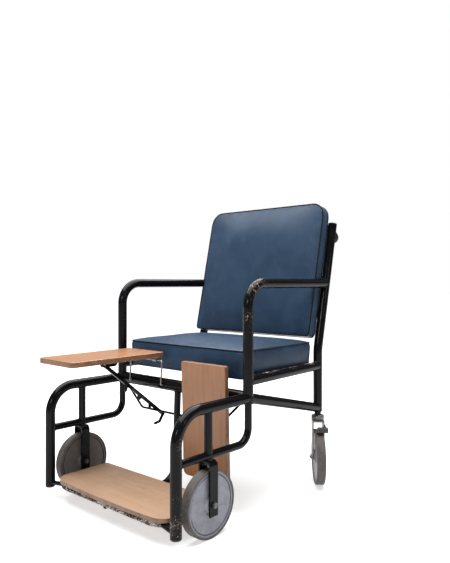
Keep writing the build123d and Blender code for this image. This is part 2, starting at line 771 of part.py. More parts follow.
def strut():
    """Ratchet strut of the right leg board: an eye, three teeth and a J-shaped end hook."""
    pivot = strut_pivot()
    turn = radians(strut_angle())
    half = strut_height / 2

    def place(distance, depth):
        """Point at a distance along the strut and a depth below its middle line."""
        return (pivot[0] + distance * cos(turn) + depth * sin(turn),
                pivot[1] + distance * sin(turn) - depth * cos(turn))

    corner = place(strut_length, 0)
    shape = stick(pivot, corner, strut_height, -strut_plane, strut_thickness)
    shape += pin((-strut_plane - strut_thickness / 2, *pivot), (-strut_plane + strut_thickness / 2, *pivot),
                 strut_eye_radius)
    for start, root, depth in zip(tooth_starts, tooth_roots, tooth_depths):
        front = place(start, half)
        tip = front[1] - depth
        face = make_face(Polyline(place(start, 0), front, (front[0], tip), (front[0] + tooth_tip_width, tip),
                                  place(start + root, half), place(start + root, 0), close=True))
        face = fillet(face.vertices().group_by(Axis.Y)[0], tooth_tip_round)
        shape += strut_plate(face)
    leg_turn = turn - radians(hook_leg_angle)
    knee = (corner[0] + hook_leg_length * cos(leg_turn), corner[1] + hook_leg_length * sin(leg_turn))
    tip_turn = turn - radians(hook_tip_angle)
    hook_end = (knee[0] + hook_tip_length * cos(tip_turn), knee[1] + hook_tip_length * sin(tip_turn))
    shape += stick(corner, knee, hook_width, -strut_plane, strut_thickness)
    shape += stick(knee, hook_end, hook_width, -strut_plane, strut_thickness)
    return shape - pin((-strut_plane - strut_thickness, *pivot), (-strut_plane + strut_thickness, *pivot),
                       strut_pin_radius + running_clearance)


def strut_bracket():
    """Channel under the right leg board that holds the strut's pin between its two ears."""
    y, z = strut_pivot()
    top = hinge_height + hinge_drop
    front, rear, bottom = y - bracket_front_reach, y + bracket_rear_reach, top - bracket_depth
    inner = strut_thickness / 2 + bracket_gap
    shape = block((-strut_plane - bracket_width / 2, front, top - bracket_plate),
                  (-strut_plane + bracket_width / 2, rear, top))
    for low_x in (-strut_plane - inner - bracket_ear, -strut_plane + inner):
        ear = block((low_x, front, bottom), (low_x + bracket_ear, rear, top - bracket_plate))
        lower = ear.edges().filter_by(Axis.X).group_by(Axis.Z)[0].sort_by(Axis.Y)
        ear = fillet(lower[0], bracket_front_round)
        lower = ear.edges().filter_by(Axis.X).sort_by(Axis.Z).filter_by(lambda edge: edge.center().Y > y)
        shape += fillet(lower[0], bracket_rear_round)
    return shape - pin((-strut_plane - bracket_width, y, z), (-strut_plane + bracket_width, y, z),
                       strut_pin_radius)


def strut_pin():
    """Headed pin through the bracket's ears and the strut's eye."""
    y, z = strut_pivot()
    reach = strut_thickness / 2 + bracket_gap + bracket_ear
    shank = pin((-strut_plane - reach, y, z), (-strut_plane + reach, y, z), strut_pin_radius)
    heads = [pin((-strut_plane + side * reach, y, z),
                 (-strut_plane + side * (reach + strut_pin_head_height), y, z), strut_pin_head)
             for side in (-1, 1)]
    return shank + heads[0] + heads[1]


def hang(shape):
    """Mirror a raised right-hand piece to the left and let it hang from the hinge."""
    left = mirrored(shape)
    turned = Rot(90 + hanging_setback_angle, 0, 0) * (Pos(0, -hinge_y, -hinge_height) * left)
    return Pos(0, hinge_y, hinge_height) * turned


def group(shapes):
    """Several separate solids in one node."""
    return Compound([solid for shape in shapes for solid in shape.solids()])


def longest(trimmed):
    """The stretch of a trimmed strap or tube that lies between the tubes that trimmed it."""
    return max(trimmed.solids(), key=lambda solid: solid.volume)


def build():
    """Build every node of the chair in the arm posts' frame."""
    nodes = {}
    tubes, solids = frame_side()
    for name, label in (("leg", "front_loop"), ("arm", "arm_tube"), ("upright", "back_upright"),
                        ("loop", "lower_loop")):
        nodes["left_" + label] = tubes[name]
        nodes["right_" + label] = mirrored(tubes[name])
    for name, label in (("wheel_post", "wheel_posts"), ("seat_rail", "seat_rails"),
                        ("lower_rail", "lower_rails")):
        nodes[label] = group([tubes[name], mirrored(tubes[name])])
    side_solids = solids["leg"] + solids["arm"] + solids["lower_rail"] + solids["loop"]
    both_sides = side_solids + mirrored(side_solids)
    uprights = solids["upright"] + mirrored(solids["upright"])
    nodes["foot_plugs"] = group([foot_plug(), mirrored(foot_plug())])
    nodes["upright_plugs"] = group([upright_plug(), mirrored(upright_plug())])
    nodes["push_bar"] = push_bar(uprights)
    nodes["front_crossbar"], crossbar_solid = crossbar(both_sides)
    rod = catch_bar(both_sides + crossbar_solid)
    nodes["catch_bar"] = rod
    stub = footboard_stub(solids["leg"])
    nodes["footboard_stubs"] = group([stub, mirrored(stub)])

    screws = []
    board, cushion, straps, strap_rows = seat()
    reach = rear_x - frame_tube_radius - screw_row_inset
    for row in strap_rows:
        for x in (-reach, reach):
            screws.append(screw_at(Pos(x, row, cushion_bottom_height - strap_thickness), strap_thickness))
    back_board, back_cushion, back_straps, back_rows = back()
    for row in back_rows:
        for x in (-reach, reach):
            place = back_place() * Pos(x, strap_thickness, row) * Rot(90, 0, 0)
            screws.append(screw_at(place, strap_thickness))
    side_run = footboard_width / 2 - rail_side_inset
    rail_row = -(footboard_rear + footboard_front) / 2
    for x in (-side_run, side_run):
        screws.append(screw_at(Pos(x, rail_row, footboard_bottom - footboard_rail_diameter),
                               footboard_rail_diameter))
    screws.append(screw_at(Pos(0, rail_row, footboard_bottom - centre_post_diameter), centre_post_diameter))
    nodes["panel_screws"] = group(screws)

    def drilled(shape):
        """Cut the screws' holes."""
        for screw in screws:
            shape = shape - screw
        return shape

    rail_solid = bar(seat_rail_points(), frame_tube_radius)
    rail_pair = rail_solid + mirrored(rail_solid)
    nodes["seat_straps"] = group([longest(drilled(strap - rail_pair)) for strap in straps])
    nodes["seat_board"] = drilled(board)
    nodes["seat_cushion"] = cushion
    nodes["back_straps"] = group([longest(drilled(strap - uprights)) for strap in back_straps])
    nodes["back_board"] = drilled(back_board)
    nodes["back_cushion"] = back_cushion
    nodes["footboard"] = drilled(footboard())
    nodes["footboard_rail"] = drilled(tube(footboard_rail_points(), rail_radius, rail_corner_radius))
    nodes["centre_post"] = drilled(centre_post(crossbar_solid, rod))

    fork = front_fork(solids["loop"])
    nodes["front_forks"] = group([fork, mirrored(fork)])
    centre = (side_x, -wheel_reach, wheel_radius)
    fork_face = fork_gap / 2 + fork_plate
    bolt, nut = axle(fork_face, centre)
    nodes["front_axle_bolts"] = group([bolt, mirrored(bolt)])
    nodes["front_axle_nuts"] = group([nut, mirrored(nut)])
    for piece, label in zip(wheel(centre), ("tyre", "core", "bush")):
        nodes["left_front_" + label] = piece
        nodes["right_front_" + label] = mirrored(piece)

    stem_places = []
    caster_face = fork_gap / 2 + caster_cheek
    for side, x, heading in (("left", rear_x, left_caster_heading), ("right", -rear_x, right_caster_heading)):
        place = Pos(x, upright_reach, 0) * Rot(0, 0, heading)
        stem_places.append(place)
        nodes[side + "_caster_fork"] = place * caster_fork()
        local = (0, -caster_trail, wheel_radius)
        bolt, nut = axle(caster_face, local)
        nodes[side + "_caster_axle"] = group([place * bolt, place * nut])
        for piece, label in zip(wheel(local), ("tyre", "core", "bush")):
            nodes[side + "_caster_" + label] = place * piece
        nodes[side + "_brake_pedal"] = place * brake_pedal()
    nodes["caster_stems"] = group([place * caster_stem() for place in stem_places])
    nodes["caster_cups"] = group([place * caster_cup() for place in stem_places])

    wire = hinge_wire(crossbar_solid)
    nodes["hinge_wires"] = group([wire, mirrored(wire)])
    clips, clip_screws = hinge_clips()
    raised = leg_board()
    for screw in clip_screws:
        raised = raised - screw
    nodes["right_leg_board"] = raised
    nodes["left_leg_board"] = hang(raised)
    nodes["right_hinge_clips"] = group(clips + clip_screws)
    nodes["left_hinge_clips"] = group([hang(piece) for piece in clips + clip_screws])
    nodes["right_strut_bracket"] = strut_bracket()
    nodes["left_strut_bracket"] = hang(strut_bracket())
    nodes["strut_pin"] = strut_pin()
    nodes["ratchet_strut"] = strut()
    return nodes


front_reach = leg_board_length - leg_board_tail + hinge_setoff
rear_reach = upright_y(push_bar_leave_height) + push_bar_setback + push_bar_radius
centre_shift = Pos(0, (front_reach - rear_reach) / 2, 0)

os.makedirs("parts", exist_ok=True)
for node, shape in build().items():
    export_step(centre_shift * shape, "parts/" + node + ".step")
print("nodes written")
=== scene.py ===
"""Wheeled hospital chair: finishes, padded seat and back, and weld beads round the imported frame."""
import logging
from dataclasses import dataclass, field
from enum import Enum
from math import cos, pi, radians, sin, sqrt
from typing import Sequence

import bmesh
import bpy
from mathutils import Matrix, Vector, noise
from mathutils.bvhtree import BVHTree
from mathutils.kdtree import KDTree


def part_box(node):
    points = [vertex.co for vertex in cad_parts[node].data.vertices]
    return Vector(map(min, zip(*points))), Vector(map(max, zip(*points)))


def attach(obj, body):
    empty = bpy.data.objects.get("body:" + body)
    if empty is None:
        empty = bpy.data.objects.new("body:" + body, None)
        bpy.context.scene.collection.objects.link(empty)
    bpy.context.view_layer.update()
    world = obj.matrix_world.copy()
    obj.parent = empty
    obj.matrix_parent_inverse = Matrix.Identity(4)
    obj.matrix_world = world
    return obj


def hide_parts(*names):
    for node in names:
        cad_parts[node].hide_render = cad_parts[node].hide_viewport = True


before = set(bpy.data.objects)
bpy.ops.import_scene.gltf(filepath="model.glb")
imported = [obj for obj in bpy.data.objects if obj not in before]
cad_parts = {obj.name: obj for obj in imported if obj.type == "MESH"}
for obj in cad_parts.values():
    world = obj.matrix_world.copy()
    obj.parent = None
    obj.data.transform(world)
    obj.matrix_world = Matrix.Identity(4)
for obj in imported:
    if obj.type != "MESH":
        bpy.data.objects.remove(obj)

log = logging.getLogger("hospital_chair")
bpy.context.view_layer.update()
MM = 0.001
SAME_PLACE = 1e-6
Colour = tuple[float, float, float]
WHITE: Colour = (1.0, 1.0, 1.0)


class Region(Enum):
    """Where a worn finish shows most of its wear."""

    EVERYWHERE = "everywhere"
    ARM_BEND = "arm bend"
    LEG_FOOT = "leg foot"
    FOOT_RAIL = "foot rail"
    SEAT_RAIL = "seat rail"


class Grain(Enum):
    """Axis that the grain of a wooden piece runs along."""

    ALONG_X = "x"
    ALONG_Y = "y"
    ALONG_Z = "z"


def centre_of(node: str) -> Vector:
    """Middle of a frame node's box at rest.

    Args:
        node: Name of the frame node.

    Returns:
        The middle point in metres.
    """
    low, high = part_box(node)
    return (low + high) / 2


POST_Y = centre_of("front_crossbar").y


@dataclass(frozen=True)
class Axes:
    """Where the frame's tubes run, in millimetres from the arm posts: left side, y back, z up."""

    post_x: float = 300.0
    upright_x: float = 284.0
    upright_y: float = 415.0
    seat_rail_z: float = 413.0
    junction_z: float = 361.5
    loop_z: float = 228.0
    lower_rail_end_z: float = 262.5
    arm_z: float = 708.0
    arm_end_y: float = 468.5
    leg_y: float = -301.0
    wheel_post_y: float = -177.0
    centre_post_y: float = -4.5
    push_bar_y: float = 511.7
    push_bar_z: float = 900.0
    rake: float = radians(12.67)

    def at_post(self, height: float) -> Vector:
        """Point on the left arm post at a height."""
        return Vector((self.post_x, 0.0, height))

    def at_upright(self, height: float) -> Vector:
        """Point on the straight part of the left rear upright at a height."""
        return Vector((self.upright_x, self.upright_y, height))


AXES = Axes()


class Bench:
    """Adds and links the shader nodes of one material."""

    def __init__(self, name: str) -> None:
        """Start a material with a Principled shader.

        Args:
            name: Name of the material.
        """
        self.material = bpy.data.materials.new(name)
        self.material.use_nodes = True
        self.tree = self.material.node_tree
        self.shader = self.tree.nodes["Principled BSDF"]
        self.place = self.add("ShaderNodeTexCoord").outputs["Object"]

    def add(self, kind: str, **settings: object) -> bpy.types.Node:
        """Add a node and set its plain properties.

        Args:
            kind: Blender's node type.
            settings: Properties of the node.

        Returns:
            The new node.
        """
        node = self.tree.nodes.new(kind)
        for key, value in settings.items():
            setattr(node, key, value)
        return node

    def feed(self, socket: bpy.types.NodeSocket, value: object) -> None:
        """Link a socket, or set its value.

        Args:
            socket: Input socket.
            value: Output socket, number or colour.
        """
        if isinstance(value, bpy.types.NodeSocket):
            self.tree.links.new(value, socket)
        elif isinstance(value, tuple) and len(value) == 3 and socket.type == "RGBA":
            socket.default_value = (*value, 1.0)
        else:
            socket.default_value = value

    def set(self, **values: object) -> None:
        """Set or link inputs of the shader; underscores stand for spaces."""
        for key, value in values.items():
            self.feed(self.shader.inputs[key.replace("_", " ")], value)

    def stretched(self, scale: Sequence[float], source: object = None) -> bpy.types.NodeSocket:
        """Object coordinates, scaled along each axis.

        Args:
            scale: Scale along X, Y and Z.
            source: Vector to scale, or nothing for the object coordinates.

        Returns:
            The scaled vector.
        """
        mapping = self.add("ShaderNodeMapping")
        self.feed(mapping.inputs["Vector"], source or self.place)
        mapping.inputs["Scale"].default_value = scale
        return mapping.outputs["Vector"]

    def noise(self, scale: float, detail: float = 4.0, rough: float = 0.55,
              vector: object = None, warp: float = 0.0) -> bpy.types.NodeSocket:
        """Fractal noise from 0 to 1.

        Args:
            scale: Cells per metre.
            detail: Number of octaves.
            rough: Weight of the finer octaves.
            vector: Where it is read, or nothing for the object coordinates.
            warp: Distortion.

        Returns:
            The noise value.
        """
        node = self.add("ShaderNodeTexNoise")
        self.feed(node.inputs["Vector"], vector or self.place)
        node.inputs["Scale"].default_value = scale
        node.inputs["Detail"].default_value = detail
        node.inputs["Roughness"].default_value = rough
        node.inputs["Distortion"].default_value = warp
        return node.outputs["Fac"]

    def span(self, value: object, low: float, high: float, to_low: float = 0.0,
             to_high: float = 1.0) -> bpy.types.NodeSocket:
        """Map a value from one range to another, clamped.

        Args:
            value: Value to map.
            low: Start of the range read.
            high: End of the range read.
            to_low: What the start becomes.
            to_high: What the end becomes.

        Returns:
            The mapped value.
        """
        node = self.add("ShaderNodeMapRange")
        for key, item in (("Value", value), ("From Min", low), ("From Max", high),
                          ("To Min", to_low), ("To Max", to_high)):
            self.feed(node.inputs[key], item)
        return node.outputs["Result"]

    def sums(self, operation: str, first: object, second: object = 0.0) -> bpy.types.NodeSocket:
        """One sum on two values.

        Args:
            operation: Blender's name for the sum.
            first: First value.
            second: Second value.

        Returns:
            The result.
        """
        node = self.add("ShaderNodeMath", operation=operation)
        self.feed(node.inputs[0], first)
        self.feed(node.inputs[1], second)
        return node.outputs[0]

    def blend(self, amount: object, first: object, second: object) -> bpy.types.NodeSocket:
        """Mix two colours.

        Args:
            amount: Share of the second colour.
            first: First colour.
            second: Second colour.

        Returns:
            The mixed colour.
        """
        node = self.add("ShaderNodeMix", data_type="RGBA")
        self.feed(node.inputs["Factor"], amount)
        self.feed(node.inputs[6], first)
        self.feed(node.inputs[7], second)
        return node.outputs[2]

    def near(self, point: Vector, radius: float) -> bpy.types.NodeSocket:
        """Mask that is 1 at a point and fades to 0 at a radius.

        Args:
            point: Middle of the mask, in metres.
            radius: Where it ends, in metres.

        Returns:
            The mask value.
        """
        node = self.add("ShaderNodeVectorMath", operation="DISTANCE")
        self.feed(node.inputs[0], self.place)
        node.inputs[1].default_value = point
        return self.span(node.outputs["Value"], radius, radius * 0.35)

    def along(self, axis: str) -> bpy.types.NodeSocket:
        """One of the object coordinates, in metres."""
        node = self.add("ShaderNodeSeparateXYZ")
        self.feed(node.inputs[0], self.place)
        return node.outputs[axis]

    def bump(self, height: object, depth: float, strength: float = 1.0,
             under: object = None) -> bpy.types.NodeSocket:
        """Bumped surface direction.

        Args:
            height: Height value.
            depth: Depth of a height of 1, in metres.
            strength: How much of it shows.
            under: Another bump that this one lies on.

        Returns:
            The surface direction, already linked to the shader.
        """
        node = self.add("ShaderNodeBump")
        node.inputs["Distance"].default_value = depth
        node.inputs["Strength"].default_value = strength
        self.feed(node.inputs["Height"], height)
        if under is not None:
            self.feed(node.inputs["Normal"], under)
        self.feed(self.shader.inputs["Normal"], node.outputs["Normal"])
        return node.outputs["Normal"]


@dataclass(frozen=True)
class Enamel:
    """Black stove enamel, chipped to brown primer and grey steel."""

    name: str
    region: Region = Region.EVERYWHERE
    base: Colour = (0.0030, 0.0028, 0.0036)
    scuffed: Colour = (0.030, 0.024, 0.021)
    primer: Colour = (0.17, 0.105, 0.07)
    steel: Colour = (0.42, 0.39, 0.36)
    chips_share: float = 0.66
    scuff_range: tuple[float, float] = (0.58, 0.68)
    bare_range: tuple[float, float] = (0.665, 0.675)
    steel_range: tuple[float, float] = (0.70, 0.72)
    bend_wear: float = 0.10
    bend_reach: float = 0.22
    foot_wear: float = 0.085
    foot_reach: float = 0.17
    foot_height: float = 0.03
    knee_wear: float = 0.07
    knee_reach: float = 0.12
    knee_drop: float = 0.06
    foot_rail_wear: float = 0.172
    foot_rail_front: tuple[float, float] = (0.05, 0.015)
    seat_rail_wear: float = 0.13
    seat_rail_crest: tuple[float, float] = (0.007, 0.001)
    specular: float = 0.11

    def worn_places(self, bench: Bench) -> object:
        """Share of wear over the piece.

        Args:
            bench: Material under work.

        Returns:
            A mask value or a plain number.
        """
        if self.region is Region.ARM_BEND:
            low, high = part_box("left_arm_tube")
            bend = bench.near(Vector((high.x, low.y, high.z)), self.bend_reach)
            return bench.sums("MULTIPLY", bend, self.bend_wear)
        if self.region is Region.LEG_FOOT:
            low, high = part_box("left_front_loop")
            foot = bench.near(Vector((high.x, low.y, low.z + self.foot_height)), self.foot_reach)
            knee = bench.near(Vector((high.x, low.y, high.z - self.knee_drop)), self.knee_reach)
            return bench.sums("ADD", bench.sums("MULTIPLY", foot, self.foot_wear),
                              bench.sums("MULTIPLY", knee, self.knee_wear))
        if self.region is Region.FOOT_RAIL:
            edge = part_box("footboard_rail")[0].y
            clean, worn = self.foot_rail_front
            front = bench.span(bench.along("Y"), edge + clean, edge + worn)
            return bench.sums("MULTIPLY", front, self.foot_rail_wear)
        if self.region is Region.SEAT_RAIL:
            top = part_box("seat_rails")[1].z
            clean, worn = self.seat_rail_crest
            crest = bench.span(bench.along("Z"), top - clean, top - worn)
            return bench.sums("MULTIPLY", crest, self.seat_rail_wear)
        return 0.0

    def build(self) -> bpy.types.Material:
        """Make the material."""
        bench = Bench(self.name)
        wear = self.worn_places(bench)
        chips = bench.noise(190.0, 6.0, 0.68, warp=0.7)
        patch = bench.noise(16.0, 3.0, 0.5)
        drive = bench.sums("ADD", bench.sums("MULTIPLY", chips, self.chips_share),
                           bench.sums("MULTIPLY", patch, 1.0 - self.chips_share))
        drive = bench.sums("ADD", drive, wear)
        scuff = bench.span(drive, *self.scuff_range)
        bare = bench.span(drive, *self.bare_range)
        shine = bench.span(drive, *self.steel_range)
        speckle = bench.noise(520.0, 3.0, 0.6)
        dulled = bench.sums("MULTIPLY", scuff, bench.span(speckle, 0.42, 0.62, 0.1, 0.8))
        coat = bench.blend(dulled, self.base, self.scuffed)
        primed = bench.blend(bench.span(speckle, 0.35, 0.65), self.primer, self.scuffed)
        chipped = bench.blend(bare, coat, primed)
        bench.set(Base_Color=bench.blend(shine, chipped, self.steel))
        smear = bench.noise(38.0, 4.0, 0.6)
        rough = bench.span(smear, 0.3, 0.75, 0.08, 0.20)
        bench.set(Roughness=bench.sums("MAXIMUM", rough, bench.sums("MULTIPLY", bare, 0.6)))
        bench.set(Specular_IOR_Level=self.specular)
        orange_peel = bench.bump(bench.noise(240.0, 2.0, 0.5), 0.00016)
        bench.bump(bench.sums("SUBTRACT", 1.0, bare), 0.0003, under=orange_peel)
        return bench.material


@dataclass(frozen=True)
class Vinyl:
    """Navy vinyl-coated cloth with a fine leather grain, and painted shade along its top seam."""

    name: str
    deep: Colour = (0.0078, 0.0215, 0.0455)
    faded: Colour = (0.0165, 0.0370, 0.0690)
    worn: Colour = (0.036, 0.056, 0.086)
    # Colour of the painted shade along the top seam.
    shaded: Colour = (0.0022, 0.0065, 0.015)
    gloss: float = 0.17
    sheen: float = 0.05
    sheen_roughness: float = 0.45

    def build(self) -> bpy.types.Material:
        """Make the material."""
        bench = Bench(self.name)
        cloud = bench.noise(7.0, 5.0, 0.6, warp=0.4)
        streak = bench.noise(22.0, 4.0, 0.6, bench.stretched((1.0, 2.2, 0.6)))
        colour = bench.blend(bench.span(cloud, 0.32, 0.72), self.deep, self.faded)
        colour = bench.blend(bench.span(streak, 0.58, 0.82, 0.0, 0.45), colour, self.worn)
        # Painted shade: near the top seam, the at_seam attribute darkens the colour towards the shaded
        # colour, broken up by the streak noise.
        at_seam = bench.add("ShaderNodeAttribute", attribute_name="at_seam").outputs["Fac"]
        grime_and_shade = bench.sums("MULTIPLY", at_seam, bench.span(streak, 0.3, 0.6, 0.55, 0.95))
        bench.set(Base_Color=bench.blend(grime_and_shade, colour, self.shaded))
        smear = bench.noise(30.0, 5.0, 0.62)
        bench.set(Roughness=bench.span(smear, 0.3, 0.75, 0.34, 0.50))
        bench.set(Specular_IOR_Level=self.gloss, Sheen_Weight=self.sheen,
                  Sheen_Roughness=self.sheen_roughness)
        pebbles = bench.noise(430.0, 0.0, 0.5)
        creases = bench.span(bench.noise(60.0, 3.0, 0.55, warp=0.6), 0.38, 0.62)
        grain = bench.bump(pebbles, 0.00012, 0.3)
        bench.bump(creases, 0.00005, 0.6, under=grain)
        return bench.material


@dataclass(frozen=True)
class Beech:
    """Varnished beech with fine flecks, handled and marked."""

    name: str
    grain: Grain
    pale: Colour = (0.340, 0.152, 0.060)
    dark: Colour = (0.225, 0.088, 0.032)
    dirt: Colour = (0.12, 0.058, 0.030)
    edge: Colour = (0.10, 0.045, 0.022)
    face_axis: str = "Z"
    edge_share: float = 0.9
    scuff: float = 0.0
    varnish: float = 0.15
    varnish_roughness: float = 0.22
    along_fibre: float = 1.0
    across_fibre: float = 14.0

    def build(self) -> bpy.types.Material:
        """Make the material."""
        bench = Bench(self.name)
        slow, quick = self.along_fibre, self.across_fibre
        scale = tuple(slow if self.grain is axis else quick for axis in Grain)
        fibres = bench.noise(5.5, 6.0, 0.62, bench.stretched(scale), warp=0.35)
        bands = bench.noise(1.3, 3.0, 0.5, bench.stretched(scale), warp=0.8)
        shorter = bench.stretched(tuple(share / 3 + 0.7 for share in scale))
        flecks = bench.span(bench.noise(60.0, 2.0, 0.5, shorter), 0.60, 0.68)
        colour = bench.blend(bench.span(fibres, 0.3, 0.7), self.pale, self.dark)
        colour = bench.blend(bench.span(bands, 0.35, 0.7, 0.0, 0.55), colour, self.pale)
        colour = bench.blend(bench.sums("MULTIPLY", flecks, 0.35), colour, self.dark)
        marks = bench.noise(26.0, 6.0, 0.7, warp=0.7)
        grime_and_shade = bench.span(marks, 0.66 - self.scuff, 0.74 - self.scuff, 0.0, 0.5)
        colour = bench.blend(grime_and_shade, colour, self.dirt)
        turned = bench.add("ShaderNodeSeparateXYZ")
        bench.feed(turned.inputs[0], bench.add("ShaderNodeTexCoord").outputs["Normal"])
        rim = bench.span(bench.sums("ABSOLUTE", turned.outputs[self.face_axis]), 0.93, 0.55)
        worn_rim = bench.span(bench.noise(55.0, 4.0, 0.6), 0.3, 0.62,
                              0.5 * self.edge_share, self.edge_share)
        bench.set(Base_Color=bench.blend(bench.sums("MULTIPLY", rim, worn_rim), colour, self.edge))
        bench.set(Roughness=bench.span(bench.noise(40.0, 4.0, 0.6), 0.3, 0.7, 0.34, 0.52))
        face = bench.sums("SUBTRACT", 1.0, rim)
        bench.set(Coat_Weight=bench.sums("MULTIPLY", face, self.varnish))
        bench.set(Coat_Roughness=self.varnish_roughness)
        bench.bump(fibres, 0.00018, 0.5)
        return bench.material


@dataclass(frozen=True)
class Rubber:
    """Grey-brown rubber, dusty and scuffed."""

    name: str
    base: Colour = (0.048, 0.040, 0.036)
    dust: Colour = (0.098, 0.084, 0.076)

    def build(self) -> bpy.types.Material:
        """Make the material."""
        bench = Bench(self.name)
        dust_and_shade = bench.noise(45.0, 5.0, 0.65, warp=0.5)
        bench.set(Base_Color=bench.blend(bench.span(dust_and_shade, 0.38, 0.72), self.base, self.dust))
        bench.set(Roughness=bench.span(dust_and_shade, 0.3, 0.7, 0.55, 0.78))
        bench.bump(bench.noise(500.0, 3.0, 0.6), 0.0003, 0.5)
        return bench.material


@dataclass(frozen=True)
class Moulded:
    """Moulded plastic with light handling marks."""

    name: str
    base: Colour
    mark: Colour
    rough: float = 0.42
    specks: float = 0.0

    def build(self) -> bpy.types.Material:
        """Make the material."""
        bench = Bench(self.name)
        stain = bench.noise(28.0, 6.0, 0.68, warp=0.6)
        colour = bench.blend(bench.span(stain, 0.42, 0.78), self.base, self.mark)
        scratches = bench.noise(160.0, 4.0, 0.6, bench.stretched((1.0, 1.0, 0.2)), warp=1.0)
        scratched = bench.span(scratches, 0.66 - self.specks, 0.72 - self.specks, 0.0, 0.5)
        bench.set(Base_Color=bench.blend(scratched, colour, self.mark))
        bench.set(Roughness=bench.span(stain, 0.3, 0.7, self.rough - 0.06, self.rough + 0.12))
        bench.bump(bench.noise(340.0, 2.0, 0.5), 0.0002, 0.4)
        return bench.material


@dataclass(frozen=True)
class BareSteel:
    """Bare or plated steel with brushed and tarnished patches."""

    name: str
    base: Colour
    tarnish: Colour
    rough: float = 0.3
    tarnish_share: float = 0.5

    def build(self) -> bpy.types.Material:
        """Make the material."""
        bench = Bench(self.name)
        patches = bench.noise(70.0, 6.0, 0.66, warp=0.4)
        edge = 0.72 - 0.3 * self.tarnish_share
        amount = bench.span(patches, edge, edge + 0.16)
        bench.set(Base_Color=bench.blend(amount, self.base, self.tarnish))
        bench.set(Metallic=bench.span(amount, 0.0, 1.0, 1.0, 0.55))
        bench.set(Roughness=bench.span(patches, 0.3, 0.7, self.rough, self.rough + 0.22))
        bench.bump(bench.noise(480.0, 3.0, 0.6), 0.00012, 0.5)
        return bench.material


@dataclass(frozen=True)
class Plywood:
    """Pale plywood with open grain."""

    name: str
    pale: Colour = (0.42, 0.27, 0.145)
    dark: Colour = (0.27, 0.155, 0.08)

    def build(self) -> bpy.types.Material:
        """Make the material."""
        bench = Bench(self.name)
        fibres = bench.noise(4.0, 6.0, 0.66, bench.stretched((1.0, 16.0, 16.0)), warp=0.5)
        knots = bench.noise(3.0, 2.0, 0.5, bench.stretched((1.0, 2.5, 2.5)))
        colour = bench.blend(bench.span(fibres, 0.3, 0.7), self.pale, self.dark)
        bench.set(Base_Color=bench.blend(bench.span(knots, 0.6, 0.75, 0.0, 0.5), colour, self.dark))
        bench.set(Roughness=bench.span(fibres, 0.3, 0.7, 0.6, 0.75))
        bench.bump(fibres, 0.0003, 0.6)
        return bench.material


def paint(piece: bpy.types.Object, finish: bpy.types.Material) -> None:
    """Give a whole piece one material.

    Args:
        piece: Object to dress.
        finish: Its material.
    """
    piece.data.materials.clear()
    piece.data.materials.append(finish)


def paint_node(node: str, finish: bpy.types.Material) -> None:
    """Give a frame node one material.

    Args:
        node: Name of the frame node.
        finish: Its material.
    """
    paint(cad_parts[node], finish)
    log.info("%s: %s", node, finish.name)


def report(piece: bpy.types.Object) -> None:
    """Log a finished piece with its number of faces."""
    log.info("%s: %d faces", piece.name, len(piece.data.polygons))


def to_object(mesh: bmesh.types.BMesh, name: str, smooth: bool = True) -> bpy.types.Object:
    """Turn a bmesh into a scene object at the origin.

    Args:
        mesh: Mesh to store; it is freed.
        name: Name of the object.
        smooth: Whether its faces are shaded smooth.

    Returns:
        The new object.
    """
    data = bpy.data.meshes.new(name)
    bmesh.ops.recalc_face_normals(mesh, faces=mesh.faces)
    mesh.to_mesh(data)
    mesh.free()
    data.polygons.foreach_set("use_smooth", [smooth] * len(data.polygons))
    piece = bpy.data.objects.new(name, data)
    bpy.context.scene.collection.objects.link(piece)
    return piece


def wire_to_mesh(points: Sequence[Vector], radius: float, name: str, closed: bool,
                 wobble: Sequence[float] = ()) -> bpy.types.Object:
    """Round wire along a line of points, as a mesh at the origin.

    Args:
        points: Points on its middle line, in metres.
        radius: Radius of the wire, in metres.
        name: Name of the object.
        closed: Whether the line closes on itself.
        wobble: Share of the radius at each point, or nothing for a steady one.

    Returns:
        The new object.
    """
    curve = bpy.data.curves.new(name, "CURVE")
    curve.dimensions = "3D"
    curve.bevel_depth = radius
    curve.bevel_resolution = 3
    curve.use_fill_caps = not closed
    spline = curve.splines.new("POLY")
    spline.points.add(len(points) - 1)
    for index, (place, point) in enumerate(zip(spline.points, points)):
        place.co = (*point, 1.0)
        place.radius = wobble[index] if wobble else 1.0
    spline.use_cyclic_u = closed
    holder = bpy.data.objects.new(name, curve)
    bpy.context.scene.collection.objects.link(holder)
    bpy.context.view_layer.update()
    depsgraph = bpy.context.evaluated_depsgraph_get()
    data = bpy.data.meshes.new_from_object(holder.evaluated_get(depsgraph))
    bpy.data.objects.remove(holder)
    mesh = bmesh.new()
    mesh.from_mesh(data)
    bpy.data.meshes.remove(data)
    bmesh.ops.remove_doubles(mesh, verts=mesh.verts, dist=SAME_PLACE)
    return to_object(mesh, name)


